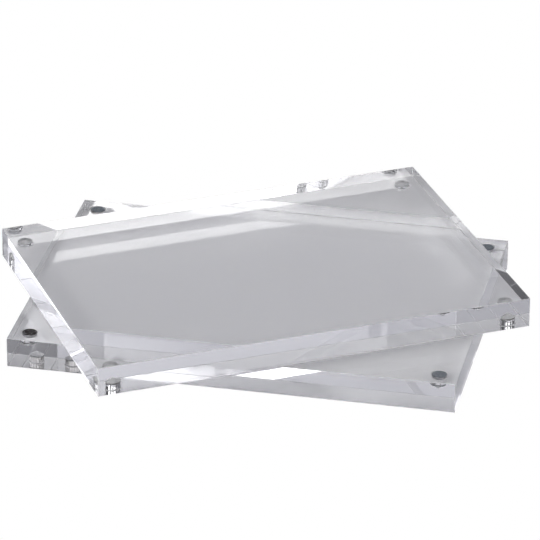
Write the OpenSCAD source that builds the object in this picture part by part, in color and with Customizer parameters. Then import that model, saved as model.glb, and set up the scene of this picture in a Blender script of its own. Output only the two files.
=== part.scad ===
// Magnetic photo frame: two clear acrylic blocks that close face to face on four pairs of disc magnets.
// Millimetres, Z up. The back block lies flat with the centre of its outer face at the origin and its
// long side along X. The front block lies on it, turned out of line with it about the fan's centre.

/* [Blocks] */
// Long side of each acrylic block
block_l = 178; // [100:1:300]
// Short side of each acrylic block
block_w = 127; // [80:1:220]
// Thickness of each acrylic block
block_t = 12.2; // [8:0.1:25]
// Width of the polished chamfer along every edge, across one face
edge_chamfer = 0.1; // [0.05:0.05:1.5]

/* [Magnets] */
// Diameter of each disc magnet
magnet_d = 6; // [4:0.5:12]
// Height of each disc magnet
magnet_h = 2.5; // [1.5:0.5:5]
// Radius of the rounded rim on both faces of a magnet
magnet_rim = 0.25; // [0.2:0.05:0.7]
// Distance from each magnet's centre to the two nearest edges of its block
magnet_inset = 7.5; // [5:0.5:20]

/* [Magnet holes] */
// Air between a magnet's side and the wall of its hole
hole_clearance = 0.05; // [0.02:0.01:0.15]
// How far a magnet's face sits below the face of its block
magnet_recess = 0.1; // [0.05:0.05:0.4]
// Depth left behind a magnet before the drill point begins
hole_spare = 0.5; // [0.05:0.05:0.8]
// Included angle of the drill point that ends each hole
drill_point = 120; // [90:1:140]
// Width of the deburred lip round the mouth of each hole
hole_lip = 0.25; // [0.1:0.05:0.5]

/* [Arrangement] */
// Angle between the two blocks as they lie
fan_angle = 31.5; // [0:0.5:90]
// How far the fan's centre lies to the right of the blocks' middle
fan_centre_x = 3.1; // [-20:0.1:20]
// How far the fan's centre lies behind the blocks' middle
fan_centre_y = -0.7; // [-20:0.1:20]
// Air between the facing sides of the two blocks
face_gap = 0.1; // [0.05:0.05:0.5]

/* [Hidden] */

acrylic = [0.86, 0.88, 0.90, 0.45];
nickel = [0.62, 0.62, 0.63];

// Corners of a block, as signs along its long and its short side
near_left = [-1, -1];
near_right = [1, -1];
far_left = [-1, 1];
far_right = [1, 1];
corners = [near_left, near_right, far_left, far_right];

hole_r = magnet_d / 2 + hole_clearance;
hole_depth = magnet_recess + magnet_h + hole_spare;
drill_tip = hole_r / tan(drill_point / 2);
// How far a cutter runs past the face that it opens
overcut = 0.5;
// Steps in the quarter arc of a magnet's rim
rim_steps = 6;
fan_centre = [fan_centre_x, fan_centre_y, 0];

// Outline of a rectangle with its four corners cut off at 45 degrees, centred on the origin
function chamfered_outline(size, cut) = let (x = size[0] / 2, y = size[1] / 2) [
    [x - cut, -y], [x, -y + cut], [x, y - cut], [x - cut, y],
    [-x + cut, y], [-x, y - cut], [-x, -y + cut], [-x + cut, -y]
];

// Quarter arc of the rim, from angle a0, round the given centre
function rim_arc(centre, a0) = [
    for (i = [0:rim_steps])
        let (a = a0 + 90 * i / rim_steps)
        centre + magnet_rim * [cos(a), sin(a)]
];

// Block with all twelve edges chamfered, standing on Z = 0
module chamfered_block() {
    translate([0, 0, block_t / 2])
    intersection() {
        linear_extrude(height = block_t, center = true)
            polygon(chamfered_outline([block_l, block_w], edge_chamfer));
        rotate([90, 0, 0])
            linear_extrude(height = block_w, center = true)
                polygon(chamfered_outline([block_l, block_t], edge_chamfer));
        rotate([90, 0, 90])
            linear_extrude(height = block_l, center = true)
                polygon(chamfered_outline([block_w, block_t], edge_chamfer));
    }
}

// Cutter for one blind magnet hole: its mouth is at Z = 0 and it goes down to the drill point
module hole_cutter() {
    rotate_extrude($fn = 96)
        polygon([
            [0, overcut],
            [hole_r + hole_lip, overcut],
            [hole_r + hole_lip, 0],
            [hole_r, -hole_lip],
            [hole_r, -hole_depth],
            [0, -hole_depth - drill_tip]
        ]);
}

// Nickel-plated disc with its top face at Z = 0
module disc_magnet() {
    r = magnet_d / 2 - magnet_rim;
    rotate_extrude($fn = 96)
        polygon(concat(
            [[0, -magnet_h]],
            rim_arc([r, -magnet_h + magnet_rim], -90),
            rim_arc([r, -magnet_rim], 0),
            [[0, 0]]
        ));
}

// Puts its children on one corner's magnet axis, at the block's inner face
module at_corner(corner) {
    translate([
        corner[0] * (block_l / 2 - magnet_inset),
        corner[1] * (block_w / 2 - magnet_inset),
        block_t
    ])
        children();
}

// Block with its four magnet holes in the upper face
module drilled_block() {
    difference() {
        chamfered_block();
        for (corner = corners)
            at_corner(corner)
                hole_cutter();
    }
}

// Magnet of one corner, seated in a hole of the upper face
module seated_magnet(corner) {
    at_corner(corner)
        translate([0, 0, -magnet_recess])
            disc_magnet();
}

// Turns a half of the frame over onto the back half, inner face down and fanned out
module front_half() {
    translate([0, 0, 2 * block_t + face_gap])
        translate(fan_centre)
            rotate([0, 0, fan_angle])
                translate(-fan_centre)
                    mirror([0, 0, 1])
                        children();
}

module back_block() {
    color(acrylic)
        drilled_block();
}

module front_block() {
    color(acrylic)
        front_half()
            drilled_block();
}

module back_magnet(corner) {
    color(nickel)
        seated_magnet(corner);
}

module front_magnet(corner) {
    color(nickel)
        front_half()
            seated_magnet(corner);
}

back_block();
back_magnet(near_left);  // back_magnet_near_left
back_magnet(near_right);  // back_magnet_near_right
back_magnet(far_left);  // back_magnet_far_left
back_magnet(far_right);  // back_magnet_far_right
front_block();
front_magnet(near_left);  // front_magnet_near_left
front_magnet(near_right);  // front_magnet_near_right
front_magnet(far_left);  // front_magnet_far_left
front_magnet(far_right);  // front_magnet_far_right
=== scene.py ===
import math
import bpy
from mathutils import Matrix, Vector


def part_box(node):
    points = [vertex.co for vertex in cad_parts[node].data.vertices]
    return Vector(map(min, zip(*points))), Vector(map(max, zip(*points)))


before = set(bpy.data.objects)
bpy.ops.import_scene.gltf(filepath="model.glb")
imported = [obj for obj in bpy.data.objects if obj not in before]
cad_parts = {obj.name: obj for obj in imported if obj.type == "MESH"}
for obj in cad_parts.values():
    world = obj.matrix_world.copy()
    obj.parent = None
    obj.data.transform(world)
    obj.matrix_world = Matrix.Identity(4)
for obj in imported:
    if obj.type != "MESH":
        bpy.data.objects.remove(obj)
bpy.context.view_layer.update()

MM = 0.001
UP = (0, 0, 1)
scene = bpy.context.scene

# The camera stands where the photograph was taken from: far off, in front and a little to the right
CAMERA_TURN = math.radians(11.704)
CAMERA_RISE = math.radians(26.847)
CAMERA_ROLL = math.radians(0.314)
CAMERA_DISTANCE = 1.8253
CAMERA_AIM = Vector((-0.61, 17.0, 12.05)) * MM
SENSOR_WIDTH = 36.0
LENS = 302.02
CLIP_START = 0.1
CLIP_END = 50.0

# The magnet holes, as they were drilled. The drill point goes 1.76 mm below the hole's depth, and its reach
# takes in all of it.
HOLE_RADIUS = 3.05 * MM
HOLE_LIP = 0.25 * MM
HOLE_DEPTH = 3.1 * MM
DRILL_REACH = 1.8 * MM
# How far a mask stays clear of the face beside it
MASK_MARGIN = 0.01 * MM

# Grain that the drill leaves: its width and its depth
GRAIN_WIDTH = 0.15 * MM
GRAIN_DEPTH = 0.03 * MM
# Cutter marks 0.1 mm apart, drawn 0.6 mm apart so that they show, and so many times as long up the sides
CUT_SPACING = 0.6 * MM
CUT_LENGTHENING = 20
CUT_DEPTH = 0.001 * MM
# How far the normal points up on a side at the most, and on a flat face at the least. On an arris it points
# along no edge of the block by as much as SQUARE_SHARE.
SIDE_SHARE = 0.1
FLAT_SHARE = 0.99
SQUARE_SHARE = 0.95
# The acrylic, the frost on drilled places and arrises, and the glue that wets the wall of a hole
ACRYLIC_IOR = 1.49
FROST_ROUGHNESS = 0.6
CHALK_SHARE = 0.85
CHALK_WHITE = 0.9
GLUE_CLEARNESS = 0.98
# Motes of dust: their width, the size of the cells that hold one mote or none, the share of cells that hold
# one, and how dense a mote is
MOTE_WIDTH = 0.3 * MM
MOTE_CELL = 14 * MM
MOTE_SHARE = 1 / 6
MOTE_DENSITY = 0.6
DUST = "#e8e6e2"
# What a metre of the sheet takes out of the light: a seventh of the red and green, none of the blue
TINT = (0.0, 0.0, 1.0, 1.0)
TINT_DENSITY = 0.15

# Colour and roughness of a magnet's side: polished as most are, or dulled as on the far left one in the back
# block
BRIGHT_SIDE = ("#c3c3c5", 0.04)
WORN_SIDE = ("#c6c4c2", 0.16)
WORN_MAGNETS = ["back_magnet_far_left"]
# How far the normal points up where the rim starts to turn into the face, and where the face is reached
FACE_RISE = (0.9, 0.98)
FACE_ROUGHNESS = 0.3
# Pebbles 0.1 mm across, drawn at 0.35 mm so that they show: their depth, and how strongly it is drawn
PEBBLE_WIDTH = 0.35 * MM
PEBBLE_DEPTH = 0.01 * MM
PEBBLE_RELIEF = 0.3
# From low to high pebbles the face's colour goes from a darker to a lighter shade
MOTTLE_NOISE = (0.35, 0.65)
MOTTLE_SHADES = (0.5, 1.6)
# Spots where the plate is rubbed bright: their width, the noise at their edges, and the dullness left there
RUB_WIDTH = 1 * MM
RUB_NOISE = (0.56, 0.64)
RUB_DULLNESS = 0.4

# Colours of the magnets' faces: the plate's own greys, and on one magnet painted shade
BACK_FACE_COLOURS_AND_PAINTED_SHADE = {
    # Near black: painted shade, a painted dark reflection of the unlit studio that this face mirrors
    "near_left": "#332d2a",
    "near_right": "#a0a7ad",
    "far_left": "#9aa2a8",
    "far_right": "#9aa2a8",
}
FRONT_FACES = dict.fromkeys(BACK_FACE_COLOURS_AND_PAINTED_SHADE, "#a5a19c")

# The studio's walls, seen from the frame at the height where the blocks mirror them. Each is a heading, in
# degrees clockwise from the way the camera looks, and a radiance, 1 being paper white. Each goes on to the
# next one's heading, and the back left wall goes over evenly into the back wall. Front is the camera's side.
BACK_WALL = (0, 0.5)
BACK_RIGHT_WALL = (10, 0.2)
DARK_RIGHT = (70, 0.0)
FRONT_RIGHT_PANEL = (115, 3.0)
DARK_FRONT = (170, 0.0)
FRONT_LEFT_PANEL = (205, 5.0)
DARK_LEFT = (245, 0.0)
BACK_LEFT_WALL = (315, 0.4)
WALLS = [
    BACK_WALL, BACK_RIGHT_WALL, DARK_RIGHT, FRONT_RIGHT_PANEL,
    DARK_FRONT, FRONT_LEFT_PANEL, DARK_LEFT, BACK_LEFT_WALL,
]
# Degrees on each side of a heading over which one wall goes into the next
WALL_BLUR = 1.0
# Heights in degrees between which the walls and panels fade in, and out again
PANEL_FOOT = (17, 20)
PANEL_TOP = (32, 36)
# A soft round lamp: its heading and height, how far its core and its edge reach, its radiance
LAMP_TURN = 210
LAMP_RISE = 42
LAMP_CORE = 12
LAMP_EDGE = 18
LAMP_GLOW = 3.1
# The dim room over all of it
OVERHEAD = 0.1
# The room and the table are lit by daylight, a little more blue than the lamps. Walls dimmer than DIM take
# their light from the room.
DAYLIGHT = (0.97, 0.97, 1.045)
LAMPLIGHT = (1.0, 1.0, 1.0)
DIM = 1.0

# The paper that the frame lies on. A breath of air keeps the block's underside a mirror.
FLOOR_SIZE = 8.0
FLOOR_AIR = 0.2 * MM
# The paper is glossy: how white it is, and its gloss's refractive index and roughness
PAPER = 0.82
PAPER_IOR = 1.5
PAPER_ROUGHNESS = 0.15
# It lies on a light table: an even glow, and a painted pool of light, bright in a half ring round the front
# of the frame, with its inner edge, its crest and its outer edge
TABLE_GLOW = 0.095
PAINTED_POOL_GLOW = 0.85
PAINTED_POOL_RADII = (100 * MM, 130 * MM, 200 * MM)
# The painted pool of light is at full glow where its direction points towards the camera by this share, and
# is gone where it points away by as much
PAINTED_POOL_REACH = 0.6

# How often light meets clear or shiny surfaces at the most, and how often paper scatters it
CLEAR_BOUNCES = 40
PAPER_BOUNCES = 3


def srgb(hex_colour):
    """Linear red, green, blue and alpha of an sRGB hex colour."""
    parts = [int(hex_colour[i:i + 2], 16) / 255 for i in (1, 3, 5)]
    linear = [c / 12.92 if c <= 0.04045 else ((c + 0.055) / 1.055) ** 2.4 for c in parts]
    return (*linear, 1.0)


def grey(value):
    """Red, green, blue and alpha of an even grey."""
    return (value, value, value, 1.0)


def add_node(tree, kind, sockets=None, **settings):
    """Adds a node, sets its properties and fills its sockets.

    sockets gives a value, a node or another node's socket for each socket's name or number.
    """
    node = tree.nodes.new(kind)
    for name, value in settings.items():
        setattr(node, name, value)
    for socket, value in (sockets or {}).items():
        if isinstance(value, bpy.types.Node):
            value = value.outputs[0]
        if isinstance(value, bpy.types.NodeSocket):
            tree.links.new(value, node.inputs[socket])
        else:
            node.inputs[socket].default_value = value
    return node


def empty_tree(owner):
    """The emptied node tree of a material or a world."""
    owner.use_nodes = True
    owner.node_tree.nodes.clear()
    return owner.node_tree


def middle(node):
    """Middle of a CAD node's box."""
    low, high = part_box(node)
    return (Vector(low) + Vector(high)) / 2


def make_camera():
    back = Vector((
        math.sin(CAMERA_TURN) * math.cos(CAMERA_RISE),
        -math.cos(CAMERA_TURN) * math.cos(CAMERA_RISE),
        math.sin(CAMERA_RISE),
    ))
    data = bpy.data.cameras.new("camera")
    data.sensor_width = SENSOR_WIDTH
    data.lens = LENS
    data.clip_start = CLIP_START
    data.clip_end = CLIP_END
    camera = bpy.data.objects.new("camera", data)
    scene.collection.objects.link(camera)
    aim = (-back).to_track_quat("-Z", "Y").to_matrix().to_4x4()
    roll = Matrix.Rotation(CAMERA_ROLL, 4, "Z")
    camera.matrix_world = Matrix.Translation(CAMERA_AIM + back * CAMERA_DISTANCE) @ aim @ roll
    scene.camera = camera


def hole_masks(tree, where, block, magnets):
    """Which parts of a block's surface belong to its magnet holes.

    Three masks: the drill points, the walls and the lips.
    """
    centres = [middle(magnet) for magnet in magnets]
    low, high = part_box(block)
    opens_up = centres[0].z > middle(block).z
    mouth = high[2] if opens_up else low[2]
    inward = -1 if opens_up else 1

    flat = add_node(tree, "ShaderNodeVectorMath", {0: where, 1: (1, 1, 0)}, operation="MULTIPLY")
    # Starts wider than any hole, and shrinks to the distance from the nearest one's axis
    nearest = HOLE_RADIUS * 2
    for centre in centres:
        axis = (centre.x, centre.y, 0)
        away = add_node(tree, "ShaderNodeVectorMath", {0: flat, 1: axis}, operation="DISTANCE")
        nearest = add_node(tree, "ShaderNodeMath", {0: away.outputs["Value"], 1: nearest},
                           operation="MINIMUM")
    near = add_node(tree, "ShaderNodeMath", {0: nearest, 1: HOLE_RADIUS + HOLE_LIP + MASK_MARGIN},
                    operation="LESS_THAN")
    height = add_node(tree, "ShaderNodeSeparateXYZ", {0: where}).outputs["Z"]
    depth = add_node(tree, "ShaderNodeMath", {0: height, 1: inward, 2: -inward * mouth},
                     operation="MULTIPLY_ADD")

    masks = []
    for start, end in (
        (HOLE_DEPTH - MASK_MARGIN, HOLE_DEPTH + DRILL_REACH),
        (HOLE_LIP, HOLE_DEPTH - MASK_MARGIN),
        (MASK_MARGIN / 2, HOLE_LIP),
    ):
        past = add_node(tree, "ShaderNodeMath", {0: depth, 1: start}, operation="GREATER_THAN")
        short = add_node(tree, "ShaderNodeMath", {0: depth, 1: end}, operation="LESS_THAN")
        both = add_node(tree, "ShaderNodeMath", {0: past, 1: short}, operation="MULTIPLY")
        masks.append(add_node(tree, "ShaderNodeMath", {0: both, 1: near}, operation="MULTIPLY"))
    return masks


def share_along(tree, normal, way):
    """How far a normal points along a way or against it, 0 to 1."""
    along = add_node(tree, "ShaderNodeVectorMath", {0: normal, 1: way}, operation="DOT_PRODUCT")
    return add_node(tree, "ShaderNodeMath", {0: along.outputs["Value"]}, operation="ABSOLUTE")


def cast_acrylic(name, block, magnets):
    """Clear cast acrylic sheet, its four sides cut with a diamond and polished, its holes drilled.

    The eye gets glass-clear faces that mirror like still water from inside, a faint cool cast where it
    looks through a long way, fine upright cutter marks on the sides, a mote of dust here and there, and
    pale frosted drill points, lips and arrises. Beside each magnet the glue has wetted the wall of the
    hole, so the nickel shows through it almost undimmed.
    """
    material = bpy.data.materials.new(name)
    tree = empty_tree(material)
    coordinates = add_node(tree, "ShaderNodeTexCoord")
    where = coordinates.outputs["Object"]
    points, walls, lips = hole_masks(tree, where, block, magnets)
    drilled = add_node(tree, "ShaderNodeMath", {0: points, 1: lips}, operation="ADD")
    facing = coordinates.outputs["Normal"]

    # What the drill leaves
    grain = add_node(tree, "ShaderNodeTexNoise", {"Vector": where, "Scale": 1 / GRAIN_WIDTH, "Detail": 2.0})
    drill_marks = add_node(tree, "ShaderNodeBump", {
        "Strength": drilled, "Distance": GRAIN_DEPTH, "Height": grain})

    # What the cutter leaves on the sides
    stretched = add_node(tree, "ShaderNodeVectorMath", {0: where, 1: (1, 1, 1 / CUT_LENGTHENING)},
                         operation="MULTIPLY")
    streaks = add_node(tree, "ShaderNodeTexNoise", {
        "Vector": stretched, "Scale": 1 / CUT_SPACING, "Detail": 1.0})
    long_way = (middle(magnets[1]) - middle(magnets[0])).normalized()
    upward = share_along(tree, facing, UP)
    side = add_node(tree, "ShaderNodeMath", {0: upward, 1: SIDE_SHARE}, operation="LESS_THAN")
    squarest = upward
    for way in (long_way, long_way.cross(Vector(UP))):
        squarest = add_node(tree, "ShaderNodeMath", {0: share_along(tree, facing, way), 1: squarest},
                            operation="MAXIMUM")
    arris = add_node(tree, "ShaderNodeMath", {0: squarest, 1: SQUARE_SHARE}, operation="LESS_THAN")
    cut_marks = add_node(tree, "ShaderNodeBump", {
        "Strength": side, "Distance": CUT_DEPTH, "Height": streaks, "Normal": drill_marks})

    # Clear sheet, chalky where it is frosted, and glue on the walls of the holes
    frosted = add_node(tree, "ShaderNodeMath", {0: drilled, 1: arris}, operation="MAXIMUM")
    rough = add_node(tree, "ShaderNodeMath", {0: frosted, 1: FROST_ROUGHNESS}, operation="MULTIPLY")
    body = add_node(tree, "ShaderNodeBsdfPrincipled", {
        "Base Color": grey(1.0), "IOR": ACRYLIC_IOR, "Transmission Weight": 1.0,
        "Roughness": rough, "Normal": cut_marks})
    wetted = add_node(tree, "ShaderNodeBsdfTransparent", {"Color": grey(GLUE_CLEARNESS)})
    frost = add_node(tree, "ShaderNodeMath", {0: frosted, 1: CHALK_SHARE}, operation="MULTIPLY")
    chalky = add_node(tree, "ShaderNodeBsdfDiffuse", {"Color": grey(CHALK_WHITE)})
    surface = add_node(tree, "ShaderNodeMixShader", {0: frost, 1: body, 2: chalky})
    surface = add_node(tree, "ShaderNodeMixShader", {0: walls, 1: surface, 2: wetted})

    # Dust on the flat faces
    cells = add_node(tree, "ShaderNodeTexVoronoi", {"Vector": where, "Scale": 1 / MOTE_CELL},
                     voronoi_dimensions="2D")
    mote = add_node(tree, "ShaderNodeMath", {0: cells.outputs["Distance"], 1: MOTE_WIDTH / 2 / MOTE_CELL},
                    operation="LESS_THAN")
    lucky = add_node(tree, "ShaderNodeSeparateXYZ", {0: cells.outputs["Color"]})
    chosen = add_node(tree, "ShaderNodeMath", {0: lucky.outputs["X"], 1: 1 - MOTE_SHARE},
                      operation="GREATER_THAN")
    flat_face = add_node(tree, "ShaderNodeMath", {0: upward, 1: FLAT_SHARE}, operation="GREATER_THAN")
    motes = add_node(tree, "ShaderNodeMath", {0: mote, 1: chosen}, operation="MULTIPLY")
    motes = add_node(tree, "ShaderNodeMath", {0: motes, 1: flat_face}, operation="MULTIPLY")
    motes = add_node(tree, "ShaderNodeMath", {0: motes, 1: MOTE_DENSITY}, operation="MULTIPLY")
    dust = add_node(tree, "ShaderNodeBsdfDiffuse", {"Color": srgb(DUST)})
    dusty = add_node(tree, "ShaderNodeMixShader", {0: motes, 1: surface, 2: dust})

    tint = add_node(tree, "ShaderNodeVolumeAbsorption", {"Color": TINT, "Density": TINT_DENSITY})
    add_node(tree, "ShaderNodeOutputMaterial", {"Surface": dusty, "Volume": tint})
    return material


def nickel_plating(name, face_colour, side_colour, side_roughness):
    """Bright nickel plate on a sintered disc magnet, its two faces dulled by handling.

    The eye gets a chrome-like side that mirrors the studio as upright stripes, and a darker face with the
    fine pebble grain that the plate takes from the sintered metal under it, rubbed bright in spots. A near
    black face_colour is painted shade, standing for a dark reflection.
    """
    material = bpy.data.materials.new(name)
    tree = empty_tree(material)
    coordinates = add_node(tree, "ShaderNodeTexCoord")
    where = coordinates.outputs["Object"]
    pebbles = add_node(tree, "ShaderNodeTexNoise", {
        "Vector": where, "Scale": 1 / PEBBLE_WIDTH, "Detail": 3.0, "Roughness": 0.6})
    upward = share_along(tree, coordinates.outputs["Normal"], UP)
    face = add_node(tree, "ShaderNodeMapRange", {
        "Value": upward, "From Min": FACE_RISE[0], "From Max": FACE_RISE[1]})

    mottle = add_node(tree, "ShaderNodeMapRange", {
        "Value": pebbles, "From Min": MOTTLE_NOISE[0], "From Max": MOTTLE_NOISE[1],
        "To Min": MOTTLE_SHADES[0], "To Max": MOTTLE_SHADES[1]})
    dull = add_node(tree, "ShaderNodeVectorMath", {0: srgb(face_colour)[:3], 3: mottle}, operation="SCALE")
    patches = add_node(tree, "ShaderNodeTexNoise", {"Vector": where, "Scale": 1 / RUB_WIDTH, "Detail": 2.0})
    kept = add_node(tree, "ShaderNodeMapRange", {
        "Value": patches, "From Min": RUB_NOISE[0], "From Max": RUB_NOISE[1],
        "To Min": 1.0, "To Max": RUB_DULLNESS})
    dulled = add_node(tree, "ShaderNodeMath", {0: face, 1: kept}, operation="MULTIPLY")
    colour = add_node(tree, "ShaderNodeMix", {"Factor": dulled, 6: srgb(side_colour), 7: dull},
                      data_type="RGBA")
    rough = add_node(tree, "ShaderNodeMapRange", {
        "Value": face, "To Min": side_roughness, "To Max": FACE_ROUGHNESS})
    relief = add_node(tree, "ShaderNodeMath", {0: face, 1: PEBBLE_RELIEF}, operation="MULTIPLY")
    grain = add_node(tree, "ShaderNodeBump", {
        "Strength": relief, "Distance": PEBBLE_DEPTH, "Height": pebbles})
    body = add_node(tree, "ShaderNodeBsdfPrincipled", {
        "Base Color": colour.outputs[2], "Metallic": 1.0, "Roughness": rough, "Normal": grain})
    add_node(tree, "ShaderNodeOutputMaterial", {"Surface": body})
    return material


def dress(half, face_tones):
    """Gives one half of the frame its materials. face_tones are the colours of its magnets' faces."""
    block = half + "_block"
    magnets = [half + "_magnet_" + corner for corner in face_tones]
    finishes = {block: cast_acrylic(half + "_cast_acrylic", block, magnets)}
    for magnet, tone in zip(magnets, face_tones.values()):
        side, rough = WORN_SIDE if magnet in WORN_MAGNETS else BRIGHT_SIDE
        finishes[magnet] = nickel_plating(magnet.replace("magnet", "nickel"), tone, side, rough)
    for name, material in finishes.items():
        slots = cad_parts[name].data.materials
        slots.clear()
        slots.append(material)


def add_floor():
    """Glossy paper on the light table, with a painted pool of light round the front of the frame. The camera
    sees it as plain white, and the blocks see it lit.
    """
    half = FLOOR_SIZE / 2
    mesh = bpy.data.meshes.new("floor")
    corners = [(-half, -half), (half, -half), (half, half), (-half, half)]
    mesh.from_pydata([(x, y, -FLOOR_AIR) for x, y in corners], [], [(0, 1, 2, 3)])
    floor = bpy.data.objects.new("floor", mesh)
    scene.collection.objects.link(floor)
    material = bpy.data.materials.new("floor_paper")
    mesh.materials.append(material)
    tree = empty_tree(material)

    where = add_node(tree, "ShaderNodeTexCoord").outputs["Object"]
    off = add_node(tree, "ShaderNodeVectorMath", {0: where}, operation="LENGTH").outputs["Value"]
    # Painted pool of light on the paper: a half ring round the front of the frame, brightest towards the
    # camera
    inner, crest, outer = PAINTED_POOL_RADII
    rising = add_node(tree, "ShaderNodeMapRange", {"Value": off, "From Min": inner, "From Max": crest})
    falling = add_node(tree, "ShaderNodeMapRange", {"Value": off, "From Min": outer, "From Max": crest})
    towards_camera = (math.sin(CAMERA_TURN), -math.cos(CAMERA_TURN), 0)
    direction = add_node(tree, "ShaderNodeVectorMath", {0: where}, operation="NORMALIZE")
    front = add_node(tree, "ShaderNodeVectorMath", {0: direction, 1: towards_camera},
                     operation="DOT_PRODUCT")
    front = add_node(tree, "ShaderNodeMapRange", {
        "Value": front.outputs["Value"], "From Min": -PAINTED_POOL_REACH, "From Max": PAINTED_POOL_REACH,
        "To Max": PAINTED_POOL_GLOW})
    painted_pool = add_node(tree, "ShaderNodeMath", {0: rising, 1: falling}, operation="MULTIPLY")
    glow_and_painted_pool = add_node(tree, "ShaderNodeMath", {0: painted_pool, 1: front, 2: TABLE_GLOW},
                    operation="MULTIPLY_ADD")
    table_and_painted_pool = add_node(tree, "ShaderNodeEmission", {"Color": (*DAYLIGHT, 1.0), "Strength": glow_and_painted_pool})
    matt = add_node(tree, "ShaderNodeBsdfDiffuse", {"Color": grey(PAPER)})
    gloss = add_node(tree, "ShaderNodeBsdfGlossy", {"Color": grey(1.0), "Roughness": PAPER_ROUGHNESS})
    fresnel = add_node(tree, "ShaderNodeFresnel", {"IOR": PAPER_IOR})
    paper = add_node(tree, "ShaderNodeMixShader", {0: fresnel, 1: matt, 2: gloss})
    lit = add_node(tree, "ShaderNodeAddShader", {0: table_and_painted_pool, 1: paper})

    white = add_node(tree, "ShaderNodeEmission", {"Color": grey(1.0)})
    path = add_node(tree, "ShaderNodeLightPath")
    both = add_node(tree, "ShaderNodeMixShader", {0: path.outputs["Is Camera Ray"], 1: lit, 2: white})
    add_node(tree, "ShaderNodeOutputMaterial", {"Surface": both})


def wall_stops():
    """Where round the circle, 0 to 1, and how bright, each wall starts and ends."""
    stops = [(0.0, WALLS[0][1])]
    for (_, before), (start, after) in zip(WALLS, WALLS[1:]):
        stops += [((start - WALL_BLUR) / 360, before), ((start + WALL_BLUR) / 360, after)]
    return stops + [(1.0, WALLS[0][1])]


def add_studio():
    """Walls, panels, lamp and room. The camera sees plain white, and the blocks see the studio."""
    world = bpy.data.worlds.new("studio")
    scene.world = world
    tree = empty_tree(world)
    way = add_node(tree, "ShaderNodeTexCoord")
    axes = add_node(tree, "ShaderNodeSeparateXYZ", {0: way.outputs["Generated"]})
    turn = add_node(tree, "ShaderNodeMath", {0: axes.outputs["X"], 1: axes.outputs["Y"]},
                    operation="ARCTAN2")
    turn = add_node(tree, "ShaderNodeMath", {0: turn, 1: CAMERA_TURN + 2 * math.pi}, operation="ADD")
    share = add_node(tree, "ShaderNodeMath", {0: turn, 1: 2 * math.pi}, operation="DIVIDE")
    share = add_node(tree, "ShaderNodeMath", {0: share}, operation="FRACT")
    walls = add_node(tree, "ShaderNodeValToRGB", {0: share})
    brightest = max(light for _, light in WALLS)
    room = tuple(OVERHEAD / brightest * part for part in DAYLIGHT)
    band = walls.color_ramp
    stops = wall_stops()
    while len(band.elements) < len(stops):
        band.elements.new(1.0)
    for element, (position, light) in zip(band.elements, stops):
        element.position = position
        tint = DAYLIGHT if light < DIM else LAMPLIGHT
        element.color = (*(light / brightest * part for part in tint), 1.0)

    fades = []
    for angles in (PANEL_FOOT, PANEL_TOP):
        low, high = (math.sin(math.radians(angle)) for angle in angles)
        fade = add_node(tree, "ShaderNodeMapRange", {
            "Value": axes.outputs["Z"], "From Min": low, "From Max": high},
            interpolation_type="SMOOTHSTEP")
        fades.append(fade)
    foot, top = fades
    panels = add_node(tree, "ShaderNodeVectorMath", {0: walls, 3: foot}, operation="SCALE")
    sky = add_node(tree, "ShaderNodeMix", {"Factor": top, 6: panels, 7: (*room, 1.0)}, data_type="RGBA")

    heading = math.radians(LAMP_TURN) - CAMERA_TURN
    height = math.radians(LAMP_RISE)
    towards_lamp = (
        math.sin(heading) * math.cos(height),
        math.cos(heading) * math.cos(height),
        math.sin(height),
    )
    near = add_node(tree, "ShaderNodeVectorMath", {0: way.outputs["Generated"], 1: towards_lamp},
                    operation="DOT_PRODUCT")
    core, edge = (math.cos(math.radians(angle)) for angle in (LAMP_CORE, LAMP_EDGE))
    lamp = add_node(tree, "ShaderNodeMapRange", {
        "Value": near.outputs["Value"], "From Min": edge, "From Max": core,
        "To Max": LAMP_GLOW / brightest})
    lit = add_node(tree, "ShaderNodeVectorMath", {0: sky.outputs[2], 1: lamp}, operation="ADD")
    light = add_node(tree, "ShaderNodeBackground", {"Color": lit, "Strength": brightest})
    white = add_node(tree, "ShaderNodeBackground", {"Color": grey(1.0), "Strength": 1.0})
    path = add_node(tree, "ShaderNodeLightPath")
    both = add_node(tree, "ShaderNodeMixShader", {0: path.outputs["Is Camera Ray"], 1: light, 2: white})
    add_node(tree, "ShaderNodeOutputWorld", {"Surface": both})


make_camera()
dress("back", BACK_FACE_COLOURS_AND_PAINTED_SHADE)
dress("front", FRONT_FACES)
add_floor()
add_studio()

scene.view_settings.view_transform = "Standard"
scene.cycles.max_bounces = CLEAR_BOUNCES
scene.cycles.transmission_bounces = CLEAR_BOUNCES
scene.cycles.glossy_bounces = CLEAR_BOUNCES
scene.cycles.diffuse_bounces = PAPER_BOUNCES
# Keeps the bands of light that the blocks throw on the paper under them
scene.cycles.blur_glossy = 0.0
